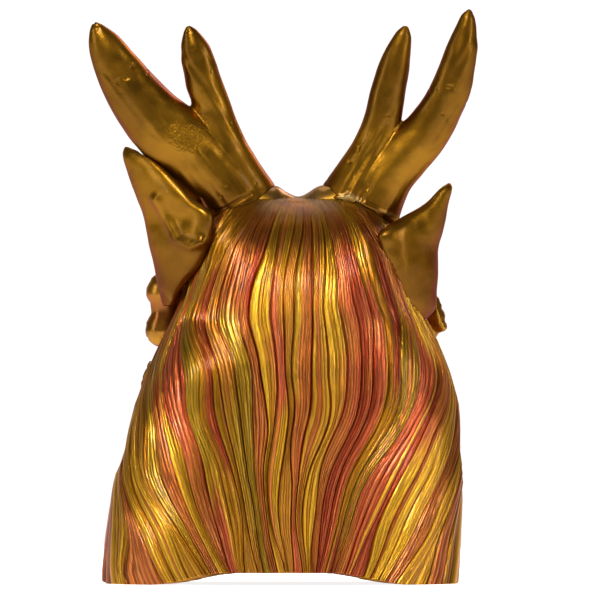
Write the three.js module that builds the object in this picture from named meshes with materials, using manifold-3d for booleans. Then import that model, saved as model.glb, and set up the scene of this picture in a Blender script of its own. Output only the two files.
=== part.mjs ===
// Dragon mask that covers the whole head: a moulded latex skin, open at the neck, with hair combed down its back.
// Two forked antlers and two pointed ears are cast on their own and glued to the skin.
// Millimetres, +Z up, face towards -Y. The mask stands on its neck rim at Z = 0.
import * as THREE from 'three';
import { mergeVertices } from 'three/addons/utils/BufferGeometryUtils.js';
import Module from 'manifold-3d';

const wasm = await Module();
wasm.setup();

// Driving sizes
const CROWN_HEIGHT = 332;
const WALL = 4;
const JOINT_GAP = 0.3;
const LOCK_RELIEF = 5;
const LOCK_COUNT = 26;
const RIM_BACK_ARCH = 11;
const RIM_FRONT_ARCH = 14;
const RIM_SIDE_ARCH = 6;
const PUPIL_DIAMETER = 9;
const TOOTH_COUNT = 4;

// Head sections: height, half width, depth behind the axis, depth before it.
// Every proportion below is drawn for the last height here, and follows CROWN_HEIGHT as a share of it.
const HEAD_SECTIONS = [
  [0, 150, 120, 114], [50, 148, 119, 106], [100, 145, 116, 98], [150, 136, 113, 95],
  [180, 126, 112, 96], [202, 117, 108, 97], [240, 99, 99, 98], [270, 90, 87, 94],
  [300, 84, 68, 82], [316, 77, 52, 68], [325, 60, 38, 52], [330, 36, 24, 32], [332, 3, 3, 3],
];
const K = CROWN_HEIGHT / HEAD_SECTIONS.at(-1)[0];
const at = (x, y, z) => new THREE.Vector3(x * K, y * K, z * K);

const HEAD_SQUARENESS = 2.3;
const LEAN_AT_RIM = 8;
const LEAN_AT_CROWN = -8;
const LEAN_HEIGHT = 200;
const CROWN_FADE = 14;

// Mesh steps
const SKIN_ROWS = 12;
const STEPS_PER_LOCK = 4;
const FACE_STEPS_PER_LOCK = 2;
const INNER_ROWS = 8;
const INNER_COLUMNS = 20;
const BEAM_STEPS = 10;
const TINE_STEPS = 7;
const ANTLER_SIDES = 8;

const COLOURS = { gold: 0xb4861c, hair: 0xb98a2a };
const latex = (color) => new THREE.MeshStandardMaterial({ color, roughness: 0.35, metalness: 0.35 });

const clamp = THREE.MathUtils.clamp;
const smooth = (low, high, x) => THREE.MathUtils.smoothstep(x, low, high);
const degrees = THREE.MathUtils.degToRad;

// Smooth curve through stations [place, value, value ...], read at one place
function through(stations, place, column) {
  const last = stations.length - 1;
  const x = clamp(place, stations[0][0], stations[last][0]);
  let i = 0;
  while (i < last - 1 && x > stations[i + 1][0]) i++;
  const slope = (n) => {
    const a = stations[Math.max(n - 1, 0)];
    const b = stations[Math.min(n + 1, last)];
    return (b[column] - a[column]) / (b[0] - a[0]);
  };
  const span = stations[i + 1][0] - stations[i][0];
  const t = (x - stations[i][0]) / span;
  const rise = stations[i + 1][column] - stations[i][column];
  const bend = slope(i) * span * (1 - t) - slope(i + 1) * span * t;
  return stations[i][column] + rise * t * t * (3 - 2 * t) + bend * t * (1 - t);
}

// Closed surface of rings, each end drawn together to its middle, or to a foot on the floor below the first ring
function closedSurface(rows, columns, pointAt, onFloor = false) {
  const points = [];
  for (let i = 0; i <= rows; i++) {
    for (let j = 0; j < columns; j++) points.push(pointAt(i / rows, j));
  }
  const ends = [0, rows].map((row) => {
    const ring = points.slice(row * columns, (row + 1) * columns);
    const middle = ring.reduce((sum, p) => sum.add(p), new THREE.Vector3());
    return middle.divideScalar(columns);
  });
  if (onFloor) ends[0].z = 0;
  const first = points.push(ends[0]) - 1;
  const top = points.push(ends[1]) - 1;
  const faces = [];
  for (let j = 0; j < columns; j++) {
    const next = (j + 1) % columns;
    faces.push(first, next, j);
    faces.push(top, rows * columns + j, rows * columns + next);
    for (let i = 0; i < rows; i++) {
      const low = i * columns;
      const high = low + columns;
      faces.push(low + j, low + next, high + next);
      faces.push(low + j, high + next, high + j);
    }
  }
  return toSolid(points, faces);
}

// Solid from points and faces, turned outward
function toSolid(points, faces) {
  let volume = 0;
  for (let i = 0; i < faces.length; i += 3) {
    const [a, b, c] = [points[faces[i]], points[faces[i + 1]], points[faces[i + 2]]];
    volume += a.dot(new THREE.Vector3().crossVectors(b, c));
  }
  const triVerts = Uint32Array.from(volume < 0 ? faces.slice().reverse() : faces);
  const vertProperties = Float32Array.from(points.flatMap((p) => p.toArray()));
  return new wasm.Manifold(new wasm.Mesh({ numProp: 3, vertProperties, triVerts }));
}

// Solid from one of the three.js geometry classes
function fromGeometry(geometry) {
  geometry.deleteAttribute('normal');
  geometry.deleteAttribute('uv');
  const merged = mergeVertices(geometry, 1e-4);
  const vertProperties = Float32Array.from(merged.attributes.position.array);
  const triVerts = Uint32Array.from(merged.index.array);
  return new wasm.Manifold(new wasm.Mesh({ numProp: 3, vertProperties, triVerts }));
}

// Limb along a curve: stations are [point, width, depth], the width lying across the curve and the Y axis
function limb(stations, steps, sides, trim = 0) {
  const curve = new THREE.CatmullRomCurve3(stations.map((s) => s[0]));
  const sizes = stations.map((s, i) => [i / (stations.length - 1), s[1], s[2]]);
  const depthAxis = new THREE.Vector3(0, 1, 0);
  return closedSurface(steps, sides, (t, j) => {
    const along = curve.getTangent(t);
    const across = new THREE.Vector3().crossVectors(along, depthAxis).normalize();
    const out = new THREE.Vector3().crossVectors(across, along);
    const angle = (j / sides) * 2 * Math.PI;
    const width = Math.max(K * through(sizes, t, 1) / 2 - trim, 0.5);
    const depth = Math.max(K * through(sizes, t, 2) / 2 - trim, 0.5);
    return curve.getPoint(t)
      .addScaledVector(across, width * Math.cos(angle))
      .addScaledVector(out, depth * Math.sin(angle));
  });
}

// Ball stretched along the axes
function ball(centre, x, y, z, sides = 9) {
  const geometry = new THREE.SphereGeometry(1, sides, Math.ceil(sides / 2));
  geometry.scale(x * K, y * K, z * K);
  geometry.translate(centre.x, centre.y, centre.z);
  return fromGeometry(geometry);
}

const join = (solids) => solids.reduce((sum, solid) => sum.add(solid));

// Neck rim: arched at the back, at the front and a little at the sides, flat between
function rimHeight(angle) {
  const turn = Math.abs(angle);
  const back = RIM_BACK_ARCH * (1 - smooth(degrees(24), degrees(42), turn));
  const front = RIM_FRONT_ARCH * smooth(degrees(142), degrees(162), turn);
  const side = RIM_SIDE_ARCH * (1 - smooth(0, degrees(14), Math.abs(turn - degrees(90))));
  return back + front + side;
}

// Comb line: the hair spreads from the crown, then draws in from both sides towards the middle of the rim
const COMB_MIDDLE = degrees(-6);
const COMB_REACH = degrees(174);
const COMB_GATHER = 0.72;
const COMB_START = 225;

function combAngle(line, height) {
  const away = line - COMB_MIDDLE;
  const fade = Math.max(1 - (away / COMB_REACH) ** 4, 0);
  const gather = COMB_GATHER * (1 - clamp(height / (COMB_START * K), 0, 1));
  return line - gather * away * fade;
}

// Rounded locks with sharp furrows between them: down the back, and round the front below the jaw
function lockRelief(line, height) {
  const edge = degrees(122) + degrees(58) * (1 - smooth(50 * K, 120 * K, height));
  const hair = 1 - smooth(edge - degrees(18), edge, Math.abs(line));
  const width = (2 * Math.PI) / LOCK_COUNT;
  const index = Math.round(line / width);
  const crest = Math.abs(Math.cos((line / width) * Math.PI)) ** 0.7;
  const rank = 0.72 + 0.28 * Math.sin(index * 2.4 + height / (46 * K));
  return LOCK_RELIEF * hair * crest * rank * smooth(0, CROWN_FADE * K, CROWN_HEIGHT - height);
}

// Point of the head's skin, moved outward by grow
function skinPoint(angle, height, profileHeight, grow) {
  const [half, back, front] = [1, 2, 3].map((c) => through(HEAD_SECTIONS, profileHeight / K, c) * K);
  const depth = Math.cos(angle) > 0 ? back : front;
  const n = HEAD_SQUARENESS;
  const sum = (Math.abs(Math.sin(angle)) / half) ** n + (Math.abs(Math.cos(angle)) / depth) ** n;
  const radius = Math.max(sum ** (-1 / n) + grow, 0.6);
  const lean = THREE.MathUtils.lerp(LEAN_AT_RIM, LEAN_AT_CROWN, smooth(0, LEAN_HEIGHT * K, height)) * K;
  return new THREE.Vector3(lean + radius * Math.sin(angle), radius * Math.cos(angle), height);
}

// Comb lines of the mesh, closer together on the hair than on the face
function combLines() {
  const lockWidth = (2 * Math.PI) / LOCK_COUNT;
  const hairEdge = Math.ceil(degrees(122) / lockWidth) * lockWidth;
  const hairSteps = Math.round((2 * hairEdge) / lockWidth) * STEPS_PER_LOCK;
  const lines = [];
  for (let j = 0; j < hairSteps; j++) lines.push(-hairEdge + (j / hairSteps) * 2 * hairEdge);
  const faceArc = 2 * Math.PI - 2 * hairEdge;
  const faceSteps = Math.round(faceArc / lockWidth) * FACE_STEPS_PER_LOCK;
  for (let j = 0; j < faceSteps; j++) lines.push(hairEdge + (j / faceSteps) * faceArc);
  return lines.map((line) => (line > Math.PI ? line - 2 * Math.PI : line));
}

function outerSkin(grow) {
  const lines = combLines();
  return closedSurface(SKIN_ROWS, lines.length, (t, j) => {
    const level = Math.sin((t * Math.PI) / 2);
    const rim = rimHeight(combAngle(lines[j], 0));
    const height = rim + (CROWN_HEIGHT - rim) * level;
    const angle = combAngle(lines[j], height);
    const point = skinPoint(angle, height, height, grow + lockRelief(lines[j], height));
    point.z += grow * level;
    return point;
  }, true);
}

function innerSkin() {
  const below = 12;
  const roof = CROWN_HEIGHT - WALL;
  return closedSurface(INNER_ROWS, INNER_COLUMNS, (t, j) => {
    const height = -below + (roof + below) * Math.sin((t * Math.PI) / 2);
    const angle = (j / INNER_COLUMNS) * 2 * Math.PI;
    return skinPoint(angle, height, (height * CROWN_HEIGHT) / roof, -WALL);
  });
}

// Body lofted through rings: stations are [x, y, z, width, second size], trim draws the rings in by a wall.
// The rings stand upright for a body that runs along Y, and lie flat for one that runs up Z.
// Skew moves each point along Y by a share of its way from the middle of its ring.
function loft(stations, steps, sides, upright, trim = 0, skew = 0) {
  const rows = stations.map((station, i) => [i / (stations.length - 1), ...station]);
  return closedSurface(steps, sides, (t, j) => {
    const angle = (j / sides) * 2 * Math.PI;
    const [x, y, z, width, depth] = [1, 2, 3, 4, 5].map((c) => through(rows, t, c) * K);
    const across = Math.max(width / 2 - trim, 0.5) * Math.cos(angle);
    const other = Math.max(depth / 2 - trim, 0.5) * Math.sin(angle);
    return new THREE.Vector3(x + across, y + skew * across + (upright ? 0 : other), z + (upright ? other : 0));
  });
}

// Face: snout, lower jaw and tongue as [x, y, z, width, height]
const SNOUT = [
  [0, -58, 190, 140, 98], [0, -100, 184, 124, 84], [0, -136, 174, 108, 66],
  [0, -164, 172, 102, 60], [0, -180, 172, 84, 48], [0, -187, 172, 42, 24],
];
const JAW = [
  [0, -50, 110, 124, 52], [0, -90, 108, 110, 44], [0, -125, 105, 94, 36],
  [0, -150, 103, 78, 28], [0, -164, 104, 42, 14],
];
const TONGUE = [[0, -86, 120, 48, 14], [0, -120, 122, 44, 13], [0, -142, 122, 34, 10], [0, -152, 124, 14, 5]];
const BRIDGE = [[0, -178, 194, 34, 20], [0, -142, 205, 32, 24], [0, -112, 226, 32, 28], [0, -86, 256, 26, 26]];
const EYE = { x: 44, y: -94, z: 224, width: 23, depth: 22, height: 21 };
const FANG_LENGTH = 27;
const TOOTH_LENGTH = 15;

// Stations drawn back along Y, so that a hollow leaves its wall at the tip
function shortened(stations, wall) {
  const first = stations[0][1];
  const share = 1 - wall / (K * Math.abs(stations.at(-1)[1] - first));
  return stations.map(([x, y, ...rest]) => [x, first + (y - first) * share, ...rest]);
}

const snout = (trim) => loft(shortened(SNOUT, trim), 8, 14, true, trim);
const jaw = (trim) => loft(shortened(JAW, trim), 6, 12, true, trim);

function eyes(trim) {
  return join([1, -1].map((side) => {
    const centre = at(side * EYE.x, EYE.y, EYE.z);
    const shrink = trim / K;
    return ball(centre, EYE.width - shrink, EYE.depth - shrink, EYE.height - shrink, 10);
  }));
}

// Cone standing in the lip, its root sunk into it
function tooth(x, y, z, radius, length, direction) {
  const geometry = new THREE.ConeGeometry(radius * K, length * K, 5, 1);
  geometry.rotateX((direction * Math.PI) / 2);
  geometry.translate(x * K, y * K, (z + (direction * length) / 2) * K);
  return fromGeometry(geometry);
}

// Height of a lip at a share of its half width
function lip(body, y, share, direction) {
  const rows = body.map(([, place, z, width, height]) => [-place, z, width, height]);
  const [z, width, height] = [1, 2, 3].map((c) => through(rows, -y, c));
  const x = (share * width) / 2;
  return { x, z: z + (direction * height * Math.sqrt(1 - share * share)) / 2 };
}

function teeth() {
  const share = 0.74;
  const sunk = 4;
  const rows = [
    { body: SNOUT, direction: -1, first: -104, pitch: -12, radius: 5 },
    { body: JAW, direction: 1, first: -98, pitch: -10.5, radius: 4.2 },
  ];
  const all = [];
  for (const { body, direction, first, pitch, radius } of rows) {
    for (const side of [1, -1]) {
      for (let i = 0; i < TOOTH_COUNT; i++) {
        const y = first + pitch * i;
        const { x, z } = lip(body, y, share, direction);
        const fang = i === TOOTH_COUNT - 1;
        const length = fang ? FANG_LENGTH : TOOTH_LENGTH;
        all.push(tooth(side * x, y, z - direction * sunk, fang ? radius * 1.35 : radius, length, direction));
      }
    }
  }
  return all;
}

// Round look-out holes, drilled straight back through the eyes
function pupils() {
  return join([1, -1].map((side) => {
    const geometry = new THREE.CylinderGeometry(PUPIL_DIAMETER / 2, PUPIL_DIAMETER / 2, 90 * K, 8);
    geometry.translate(side * EYE.x * K, -100 * K, EYE.z * K);
    return fromGeometry(geometry);
  }));
}

// Parts of the face that come in pairs; the two sides differ as the moulding does
function pairedFace(side) {
  const p = (x, y, z) => at(side * x, y, z);
  const nose = ball(p(25, -168, 191), 24, 19, 18);
  const brow = limb([
    [p(12, -108, 228), 18, 22], [p(34, -108, 253), 30, 32], [p(64, -92, 265), 32, 36],
    [p(92, -62, 268), 26, 30], [p(108, -36, 262), 8, 10],
  ], 7, 7);
  const lid = limb([[p(20, -106, 212), 5, 6], [p(44, -112, 203), 10, 10], [p(67, -94, 212), 5, 6]], 4, 6);
  const whisker = limb([
    [p(38, -158, 174), 10, 10], [p(60, -118, 152), 14, 13], [p(88, -86, 146), 14, 13],
    [p(112, -66, 152), 12, 12], [p(124, -44, 170), 9, 10], [p(119, -40, 192), 3, 4],
  ], 7, 6);
  const cheek = ball(p(78, -64, 197), 33, 33, 28);
  const jowl = limb([[p(86, -46, 176), 30, 34], [p(78, -70, 142), 40, 36], [p(50, -92, 112), 34, 36]], 4, 8);
  return [nose, brow, lid, whisker, cheek, jowl];
}

// Frills at the sides of the face, two round lobes on one side, a blunt frond above a lobe on the other
function frills() {
  return [
    limb([[at(70, -66, 236), 26, 22], [at(92, -44, 246), 30, 24], [at(108, -22, 250), 32, 24]], 3, 7),
    ball(at(107, -20, 250), 17, 14, 17),
    limb([[at(76, -66, 212), 26, 22], [at(94, -44, 216), 30, 24], [at(108, -24, 218), 31, 24]], 3, 7),
    ball(at(107, -22, 218), 18, 14, 16.5),
    limb([[at(-76, -62, 218), 28, 22], [at(-104, -34, 225), 34, 20], [at(-130, -14, 233), 35, 12]], 3, 7),
    limb([[at(-76, -66, 206), 24, 22], [at(-96, -44, 210), 28, 24], [at(-108, -26, 212), 27, 24]], 3, 7),
    ball(at(-108, -24, 212), 18, 14, 14),
  ];
}

function beard() {
  return [-2, -1, 0, 1, 2].map((k) => limb([
    [at(k * 19, -104 + 3 * Math.abs(k), 106), 32, 34], [at(k * 25, -116 + 5 * Math.abs(k), 78), 34, 34],
    [at(k * 25, -116 + 4 * Math.abs(k), 50), 22, 24], [at(k * 19, -108, 26 + 6 * Math.abs(k)), 3, 4],
  ], 4, 7));
}

function forehead() {
  return [262, 280, 296].map((z, i) => ball(at(0, -95 + i * 7, z), 19 - 3 * i, 12, 11, 8));
}

// Mounds that carry the roots of the antlers, with a saddle slung between them
const MOUND = { x: 43, shift: -9, y: 10, z: 306, width: 38, depth: 34, height: 30 };
const NOSTRIL = { x: 25, y: -186, z: 192, width: 9, depth: 8, height: 7 };

const SADDLE = [
  [44, 13, 334, 30, 34], [24, 13, 320, 49, 46], [12, 13, 314, 47, 46], [-5, 13, 309, 45, 45],
  [-18, 13, 311, 46, 46], [-38, 13, 320, 50, 46], [-58, 13, 338, 30, 34],
];

const SADDLE_STEPS = 7;
const MOUND_SIDES = 8;

function mounds(grow) {
  const line = SADDLE.map(([x, y, z, width, depth]) => [at(x, y, z), width, depth]);
  const saddle = limb(line, SADDLE_STEPS, MOUND_SIDES, -grow);
  return saddle.add(join([1, -1].map((side) => {
    const centre = at(side * MOUND.x + MOUND.shift, MOUND.y, MOUND.z);
    const more = grow / K;
    return ball(centre, MOUND.width + more, MOUND.depth + more, MOUND.height + more, MOUND_SIDES);
  })));
}

function nostrils() {
  return join([1, -1].map((side) => {
    const centre = at(side * NOSTRIL.x, NOSTRIL.y, NOSTRIL.z);
    return ball(centre, NOSTRIL.width, NOSTRIL.depth, NOSTRIL.height);
  }));
}

function buildHead() {
  const outside = join([
    outerSkin(0), mounds(0), snout(0), jaw(0), eyes(0), loft(BRIDGE, 5, 8, true),
    ...pairedFace(1), ...pairedFace(-1), ...frills(), ...beard(), ...forehead(),
  ]);
  const hollow = join([innerSkin(), snout(WALL), jaw(WALL), eyes(WALL)]);
  return join([outside, loft(TONGUE, 4, 8, true), ...teeth()]).subtract(nostrils()).subtract(hollow)
    .subtract(pupils());
}

// Antlers: two forks, each a main beam and an inner tine as [x, y, z, width]; the depth is a share of the width
const ANTLER_DEPTH = 0.84;
const ANTLERS = {
  antler_left: [
    [[22, 12, 296, 52], [42.5, 13, 325, 58], [68, 15, 353, 60], [95, 18, 378, 60],
      [121.5, 22, 404, 52], [144.5, 27, 435.6, 42], [158.5, 31, 461, 29], [166, 34, 477, 12], [167.5, 35, 480.7, 4]],
    [[23, 12, 306, 58], [37, 13, 332, 51], [52, 15, 362, 43], [64.5, 18, 400, 34],
      [74, 21, 431, 31], [81.5, 24, 457, 26], [86, 26, 473, 13], [87.5, 27, 478, 4]],
  ],
  antler_right: [
    [[-50, 12, 290, 50], [-66, 13, 317.5, 54], [-81, 15, 348, 50], [-98.6, 17, 367.6, 46],
      [-117, 20, 387, 41], [-130, 24, 408, 37], [-140, 28, 432, 33], [-147.5, 32, 460, 26],
      [-152.5, 35, 486, 13], [-154, 36, 492.6, 4]],
    [[-36, 12, 300, 58], [-51, 13, 329, 53], [-61, 14, 350.6, 44], [-71.4, 16, 372, 37],
      [-79, 18, 396, 32], [-84, 21, 421, 30], [-90, 24, 446.7, 26], [-97, 27, 470, 14], [-99.5, 28, 477.5, 4]],
  ],
};

function antler(name, trim) {
  const [beam, tine] = ANTLERS[name].map((branch, i) => {
    const stations = branch.map(([x, y, z, width]) => [at(x, y, z), width, width * ANTLER_DEPTH]);
    return limb(stations, i ? TINE_STEPS : BEAM_STEPS, ANTLER_SIDES, trim);
  });
  return beam.add(tine);
}

// Ears: leaves on the sides of the head, as [height, outer edge, inner edge, thickness].
// Each outer edge stands at one depth, and the leaf wraps back round the head from there.
const EAR_DEPTH_PLACE = 10;
const EAR_WRAP = 0.75;
const EARS = {
  ear_left: [
    [238, 109, 100, 12], [255, 113.5, 90, 28], [272, 117, 76, 36], [293, 121.5, 68, 40], [316, 126, 66, 37],
    [330, 131.5, 82.5, 31], [345, 137, 97, 24], [359, 141.5, 112, 17], [368, 143.5, 124, 11], [374.5, 142, 139, 3],
  ],
  ear_right: [
    [219, -110, -100, 12], [234, -124, -92, 27], [253, -126, -84, 36], [270, -127, -80, 40],
    [287, -127.5, -76, 40], [300, -131, -76, 35], [312, -133.5, -92, 27], [325, -136, -114.8, 18],
    [338, -139.4, -127.5, 9], [344, -138, -136, 3],
  ],
};

function ear(name) {
  const side = Math.sign(EARS[name][0][1]);
  const rings = EARS[name].map(([z, outer, inner, depth]) => {
    const width = Math.abs(outer - inner);
    return [(outer + inner) / 2, EAR_DEPTH_PLACE + (EAR_WRAP * width) / 2, z, width, depth];
  });
  const scoop = rings.slice(1, -1).map(([x, y, z, width, depth]) => (
    [x + side * width * 0.04, y - depth * 0.5, z, width * 0.72, depth * 0.74]));
  const skew = -side * EAR_WRAP;
  return loft(rings, 9, 9, false, 0, skew).subtract(loft(scoop, 6, 7, false, 0, skew));
}

function toMesh(name, solid, color) {
  const { vertProperties, triVerts } = solid.getMesh();
  const geometry = new THREE.BufferGeometry();
  geometry.setAttribute('position', new THREE.BufferAttribute(vertProperties, 3));
  geometry.setIndex(new THREE.BufferAttribute(triVerts, 1));
  const mesh = new THREE.Mesh(geometry, latex(color));
  mesh.name = name;
  return mesh;
}

const mask = new THREE.Group();
mask.add(toMesh('head', buildHead(), COLOURS.hair));
const fitted = outerSkin(JOINT_GAP).add(mounds(JOINT_GAP));
for (const name of ['antler_left', 'antler_right']) {
  mask.add(toMesh(name, antler(name, 0).subtract(fitted), COLOURS.gold));
}
for (const side of ['left', 'right']) {
  const cut = ear(`ear_${side}`).subtract(fitted).subtract(antler(`antler_${side}`, -JOINT_GAP));
  mask.add(toMesh(`ear_${side}`, cut, COLOURS.gold));
}

const bounds = new THREE.Box3().setFromObject(mask);
const middle = bounds.getCenter(new THREE.Vector3());
mask.position.set(-middle.x, -middle.y, 0);
mask.updateMatrixWorld(true);

export default mask;
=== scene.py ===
"""Dragon mask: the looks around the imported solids. Lengths below are in millimetres until a mesh is made."""

import math
import random

import bpy
import mathutils
import numpy as np
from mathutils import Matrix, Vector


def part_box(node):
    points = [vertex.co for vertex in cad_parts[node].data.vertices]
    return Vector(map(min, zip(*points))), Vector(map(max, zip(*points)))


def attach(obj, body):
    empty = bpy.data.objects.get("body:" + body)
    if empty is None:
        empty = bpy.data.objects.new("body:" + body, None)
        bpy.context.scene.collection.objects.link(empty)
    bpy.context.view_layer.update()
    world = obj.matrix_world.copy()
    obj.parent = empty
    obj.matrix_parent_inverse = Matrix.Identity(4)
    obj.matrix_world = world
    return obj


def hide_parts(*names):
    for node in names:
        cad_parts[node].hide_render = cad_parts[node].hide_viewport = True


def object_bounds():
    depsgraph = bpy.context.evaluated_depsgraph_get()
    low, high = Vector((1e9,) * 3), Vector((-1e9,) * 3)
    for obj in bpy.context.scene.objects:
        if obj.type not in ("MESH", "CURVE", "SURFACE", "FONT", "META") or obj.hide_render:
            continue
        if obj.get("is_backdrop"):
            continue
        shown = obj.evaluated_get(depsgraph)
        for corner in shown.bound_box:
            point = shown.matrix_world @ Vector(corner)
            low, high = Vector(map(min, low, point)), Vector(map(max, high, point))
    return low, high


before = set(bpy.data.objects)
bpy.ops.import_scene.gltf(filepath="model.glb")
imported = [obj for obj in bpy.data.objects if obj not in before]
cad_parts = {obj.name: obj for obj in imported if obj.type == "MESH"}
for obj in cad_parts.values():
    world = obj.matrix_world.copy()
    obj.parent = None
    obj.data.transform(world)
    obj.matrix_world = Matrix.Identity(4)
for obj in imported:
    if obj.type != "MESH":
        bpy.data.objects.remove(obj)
CAD_BOUNDS = [list(corner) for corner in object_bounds()]

# Sizes as drawn for the solids, and the scale K that the frame gives them

MM = 1000.0
HEAD_LOW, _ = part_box("head")
DRAWN_HEIGHT = 493.08
DRAWN_CROWN = 332.0
DRAWN_MIDDLE = -5.836
K = CAD_BOUNDS[1][2] * MM / DRAWN_HEIGHT
CROWN = DRAWN_CROWN * K
SNOUT_TIP = -187.0
WALL = 4.0
TIP_WALL = WALL + 2
LOCK_RELIEF = 5.0
LOCK_COUNT = 26
LOCK_WIDTH = 2 * math.pi / LOCK_COUNT
RIM_BACK_ARCH = 11.0
RIM_FRONT_ARCH = 14.0
RIM_SIDE_ARCH = 6.0
PUPIL_DIAMETER = 9.0

HEAD_SECTIONS = [
    (0, 150, 120, 114), (50, 148, 119, 106), (100, 145, 116, 98), (150, 136, 113, 95),
    (180, 126, 112, 96), (202, 117, 108, 97), (240, 99, 99, 98), (270, 90, 87, 94),
    (300, 84, 68, 82), (316, 77, 52, 68), (325, 60, 38, 52), (330, 36, 24, 32), (332, 3, 3, 3),
]
HEAD_SQUARENESS = 2.3
LEAN_AT_RIM = 8.0
LEAN_AT_CROWN = -8.0
CROWN_FADE = 14.0
SHIFT = np.array([DRAWN_MIDDLE * K, HEAD_LOW.y * MM - SNOUT_TIP * K, 0.0])

COMB_MIDDLE = math.radians(-6)
COMB_REACH = math.radians(174)
COMB_GATHER = 0.72
COMB_START = 225.0
LOCKS_ROUND = 2 * LOCK_COUNT
LOCK_PITCH = 2 * math.pi / LOCKS_ROUND
LOCK_WANDER = 0.44
CORAL_FROM = 0.4
BROAD_RELIEF = 2.3
FINE_RELIEF = 1.5
CRACK_DEPTH = 1.4
COLLAR_RISE = 13.0
FACE_VOXEL = 2.35
ANTLER_VOXEL = 1.3
EAR_VOXEL = 1.1
JOINT_GAP = 0.3
MOUND_GAP = JOINT_GAP + 0.3
EAR_GAP = JOINT_GAP + 1.2
DRAW_OFFSET = 60
STRAY_GOLD = 0.82
STRAY_CORAL = 0.07
IRIS_EDGE = (11.0, 12.2)
PUPIL_EDGE = (5.2, 6.2)


# Small mathematics

def smooth(low, high, x):
    t = np.clip((np.asarray(x, float) - low) / (high - low), 0, 1)
    return t * t * (3 - 2 * t)


def through(stations, place):
    """Smooth curve through stations (place, value, value ...), with one more axis for the values."""
    rows = np.array(stations, float)
    x, values = rows[:, 0], rows[:, 1:]
    place = np.clip(np.asarray(place, float), x[0], x[-1])
    i = np.clip(np.searchsorted(x, place, side="right") - 1, 0, len(x) - 2)
    before = np.maximum(np.arange(len(x)) - 1, 0)
    after = np.minimum(np.arange(len(x)) + 1, len(x) - 1)
    slope = (values[after] - values[before]) / (x[after] - x[before])[:, None]
    span = (x[i + 1] - x[i])[..., None]
    t = (place - x[i])[..., None] / span
    bend = slope[i] * span * (1 - t) - slope[i + 1] * span * t
    return values[i] + (values[i + 1] - values[i]) * t * t * (3 - 2 * t) + bend * t * (1 - t)


def noise(u, v, seed):
    """Smooth random values from 0 to 1 over a plane."""
    size = 256
    table = np.random.default_rng(seed).random((size, size))
    u, v = np.broadcast_arrays(np.asarray(u, float), np.asarray(v, float))
    i, j = np.floor(u).astype(int), np.floor(v).astype(int)
    a, b = u - i, v - j
    a, b = a * a * (3 - 2 * a), b * b * (3 - 2 * b)
    corner = lambda di, dj: table[(i + di) % size, (j + dj) % size]
    low = corner(0, 0) * (1 - a) + corner(1, 0) * a
    high = corner(0, 1) * (1 - a) + corner(1, 1) * a
    return low * (1 - b) + high * b


def noise3(points, scale, seed):
    """Smooth random values from -1 to 1 in space, from three planes."""
    x, y, z = (points / scale).T
    mixed = noise(x, y + 0.37 * z, seed) + noise(y, z + 0.37 * x, seed + 1) + noise(z, x + 0.37 * y, seed + 2)
    return mixed * 2 / 3 - 1


# The head's skin

def rim_height(angle):
    turn = np.degrees(np.abs(angle))
    back = RIM_BACK_ARCH * (1 - smooth(17, 51, turn))
    front = RIM_FRONT_ARCH * smooth(142, 162, turn)
    side = RIM_SIDE_ARCH * (1 - smooth(0, 14, np.abs(turn - 90)))
    return back + front + side


def sections(height):
    values = through(HEAD_SECTIONS, height / K) * K
    return values[..., 0], values[..., 1], values[..., 2]


def lean(height):
    return K * (LEAN_AT_RIM + (LEAN_AT_CROWN - LEAN_AT_RIM) * smooth(0, 200 * K, height))


def skin_radius(angle, height):
    half, back, front = sections(height)
    depth = np.where(np.cos(angle) > 0, back, front)
    across = (np.abs(np.sin(angle)) / half) ** HEAD_SQUARENESS
    along = (np.abs(np.cos(angle)) / depth) ** HEAD_SQUARENESS
    return (across + along) ** (-1 / HEAD_SQUARENESS)


def comb_gather(height):
    return COMB_GATHER * (1 - np.clip(height / (COMB_START * K), 0, 1))


def comb_angle(line, height):
    away = line - COMB_MIDDLE
    return line - comb_gather(height) * away * np.maximum(1 - (away / COMB_REACH) ** 4, 0)


def draw(number, seed):
    """Random value from 0 to 1 for each whole number."""
    return np.random.default_rng(seed).random(4096)[np.mod(np.asarray(number).astype(int), 4096)]


def sway(line, height):
    """Slow sideways drift of the locks, none at the middle of the face."""
    slow = noise(line * 1.3 + 40, height / (85 * K), 21) - 0.5
    swirl = noise(line * 3.2 + 80, height / (46 * K), 22) - 0.5
    return (math.radians(11) * slow + math.radians(6) * swirl) * (1 - smooth(2.6, 3.1, np.abs(line)))


def border(number, height):
    """Where a lock begins, counted in locks round the head."""
    wave = noise(np.mod(number, LOCKS_ROUND) * 7.31 + 300, height / (62 * K), 31)
    return number + LOCK_WANDER * 2 * (wave - 0.5)


def hair_cover(line, height):
    edge = math.radians(122) + math.radians(58) * (1 - smooth(50 * K, 120 * K, height))
    return 1 - smooth(edge - math.radians(18), edge, np.abs(line))


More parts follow.
